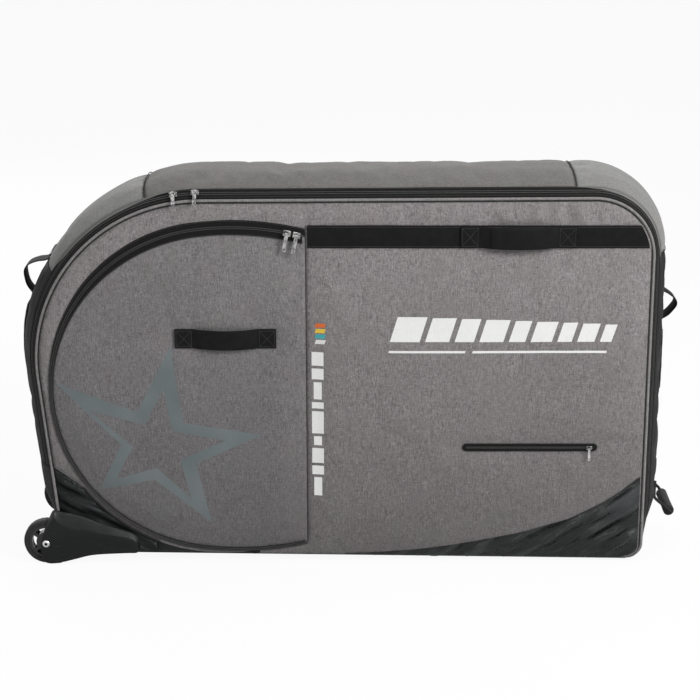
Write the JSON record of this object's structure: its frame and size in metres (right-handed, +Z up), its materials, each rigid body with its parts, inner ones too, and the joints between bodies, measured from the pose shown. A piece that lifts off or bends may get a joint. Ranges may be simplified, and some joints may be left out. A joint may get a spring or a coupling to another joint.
{
  "type": "soft bike travel bag",
  "caption": "Padded soft bag for a bicycle: drop-down zipped front, wheel pockets behind D-shaped flaps, webbing handles, and wheels at one end for towing.",
  "frame": {"origin": "on the floor, under the middle of the bag's overall box", "axes": "+X along the bag from its wheels to its towing grip, +Y from its front to its back, +Z up"},
  "size_m": [1.423, 0.3422, 0.8476],
  "materials": {
    "heather_fabric": "heathered grey woven shell",
    "black_fabric": "black woven nylon",
    "tarpaulin": "coated black tarpaulin, half gloss",
    "webbing": "black woven webbing",
    "zip_tape": "black zip tape with coil teeth",
    "piping": "light grey piping",
    "zinc": "bright plated zinc",
    "moulded_black": "black moulded plastic",
    "tyre_rubber": "black rubber",
    "steel": "plain steel",
    "board": "stiff black sheet",
    "hoop_tube": "bare aluminium tube",
    "lining": "padded dark lining"
  },
  "bodies": {
    "bag_body": {"back_panel": "heather_fabric", "corner_panel_left": "tarpaulin", "back_flap_zip_outer": "zip_tape", "wheel_pocket_back": "lining", "end_gusset_left": "black_fabric", "corner_gusset_left": "heather_fabric", "top_gusset": "heather_fabric", "corner_gusset_right": "heather_fabric", "end_gusset_right": "black_fabric", "body_zip_tape": "zip_tape", "back_piping": "piping", "base_panel": "moulded_black", "base_board": "board", "end_hoop_left": "hoop_tube", "end_hoop_right": "hoop_tube", "wheel_housing_front": "moulded_black", "wheel_housing_back": "moulded_black", "axle_bolt_front": "steel", "axle_bolt_back": "steel", "back_carry_strap": "webbing", "back_carry_handle": "webbing", "end_loop_left": "webbing", "end_sleeve_left": "webbing", "end_loop_right": "webbing", "end_sleeve_right": "webbing", "pull_strap": "webbing", "pull_grip": "tyre_rubber"},
    "door": {"front_panel": "heather_fabric", "front_flap_zip_outer": "zip_tape", "wheel_pocket_front": "lining", "door_zip_tape": "zip_tape", "front_piping": "piping", "tarp_patch_right": "tarpaulin", "front_carry_strap": "webbing", "front_carry_handle": "webbing", "pocket_zip": "zip_tape"},
    "flap_front": {"front_flap": "heather_fabric", "front_flap_zip_inner": "zip_tape", "front_grab_handle": "webbing"},
    "flap_back": {"back_flap": "heather_fabric", "back_flap_zip_inner": "zip_tape", "back_grab_handle": "webbing"},
    "wheel_front": {"wheel_hub_front": "moulded_black", "wheel_tyre_front": "tyre_rubber", "wheel_bush_front": "steel"},
    "wheel_back": {"wheel_hub_back": "moulded_black", "wheel_tyre_back": "tyre_rubber", "wheel_bush_back": "steel"},
    "main_slider_left_body": {"main_slider_left": "zinc"},
    "main_slider_left_tab_body": {"main_slider_left_tab": "zinc"},
    "main_slider_right_body": {"main_slider_right": "zinc"},
    "main_slider_right_tab_body": {"main_slider_right_tab": "zinc"},
    "front_flap_slider_a_body": {"front_flap_slider_a": "zinc"},
    "front_flap_slider_a_tab_body": {"front_flap_slider_a_tab": "zinc"},
    "front_flap_slider_b_body": {"front_flap_slider_b": "zinc"},
    "front_flap_slider_b_tab_body": {"front_flap_slider_b_tab": "zinc"},
    "back_flap_slider_body": {"back_flap_slider": "zinc"},
    "back_flap_slider_tab_body": {"back_flap_slider_tab": "zinc"},
    "pocket_slider_body": {"pocket_slider": "zinc"},
    "pocket_slider_tab_body": {"pocket_slider_tab": "zinc"}
  },
  "joints": [
    {"name": "front_wheel_spin", "type": "hinge", "parent": "bag_body", "child": "wheel_front", "pos_m": [-0.6615, -0.135, 0.05], "axis": [0, 1, 0], "continuous": true},
    {"name": "back_wheel_spin", "type": "hinge", "parent": "bag_body", "child": "wheel_back", "pos_m": [-0.6615, 0.135, 0.05], "axis": [0, 1, 0], "continuous": true},
    {"name": "door_open", "type": "hinge", "parent": "bag_body", "child": "door", "pos_m": [0, -0.138, 0.01776], "axis": [0.9999, 0, -0.0132], "range_deg": [0, 85]},
    {"name": "front_flap_open", "type": "hinge", "parent": "door", "child": "flap_front", "pos_m": [-0.09719, -0.142, 0.39098], "axis": [0, 0, 1], "range_deg": [0, 95]},
    {"name": "back_flap_open", "type": "hinge", "parent": "bag_body", "child": "flap_back", "pos_m": [-0.09719, 0.142, 0.39098], "axis": [0, 0, -1], "range_deg": [0, 95]},
    {"name": "main_slider_left_run", "type": "hinge", "parent": "door", "child": "main_slider_left_body", "pos_m": [-0.31105, -0.1224, 0.45245], "axis": [0, -1, 0], "range_deg": [0, 84]},
    {"name": "main_slider_right_run", "type": "slide", "parent": "door", "child": "main_slider_right_body", "axis": [1, 0, 0.0064], "range_m": [0, 0.8]},
    {"name": "front_flap_slider_a_run", "type": "hinge", "parent": "flap_front", "child": "front_flap_slider_a_body", "pos_m": [-0.24858, -0.1443, 0.14979], "axis": [0, -1, 0], "range_deg": [0, 17]},
    {"name": "front_flap_slider_b_run", "type": "hinge", "parent": "flap_front", "child": "front_flap_slider_b_body", "pos_m": [-0.24858, -0.1443, 0.14979], "axis": [0, -1, 0], "range_deg": [0, 0.3]},
    {"name": "back_flap_slider_run", "type": "hinge", "parent": "flap_back", "child": "back_flap_slider_body", "pos_m": [-0.24858, 0.1443, 0.14979], "axis": [0, -1, 0], "range_deg": [0, 17]},
    {"name": "pocket_slider_run", "type": "slide", "parent": "door", "child": "pocket_slider_body", "axis": [-1, 0, 0], "range_m": [0, 0.26]},
    {"name": "main_slider_left_tab_swing", "type": "hinge", "parent": "main_slider_left_body", "child": "main_slider_left_tab_body", "pos_m": [-0.36787, -0.12795, 0.81878], "axis": [-0.9882, 0, -0.1533], "range_deg": [0, 110]},
    {"name": "main_slider_right_tab_swing", "type": "hinge", "parent": "main_slider_right_body", "child": "main_slider_right_tab_body", "pos_m": [-0.32258, -0.12795, 0.82298], "axis": [-0.9995, 0, -0.0311], "range_deg": [0, 110]},
    {"name": "front_flap_slider_a_tab_swing", "type": "hinge", "parent": "front_flap_slider_a_body", "child": "front_flap_slider_a_tab_body", "pos_m": [-0.13419, -0.1539, 0.73879], "axis": [-0.9817, 0, 0.1906], "range_deg": [-6, 140]},
    {"name": "front_flap_slider_b_tab_swing", "type": "hinge", "parent": "front_flap_slider_b_body", "child": "front_flap_slider_b_tab_body", "pos_m": [-0.11419, -0.1539, 0.73455], "axis": [-0.9746, 0, 0.224], "range_deg": [-6, 140]},
    {"name": "back_flap_slider_tab_swing", "type": "hinge", "parent": "back_flap_slider_body", "child": "back_flap_slider_tab_body", "pos_m": [-0.11419, 0.1539, 0.73455], "axis": [0.9746, 0, -0.224], "range_deg": [-6, 140]},
    {"name": "pocket_slider_tab_swing", "type": "hinge", "parent": "pocket_slider_body", "child": "pocket_slider_tab_body", "pos_m": [0.504, -0.15102, 0.268], "axis": [-1, 0, 0], "range_deg": [-6, 140]}
  ]
}
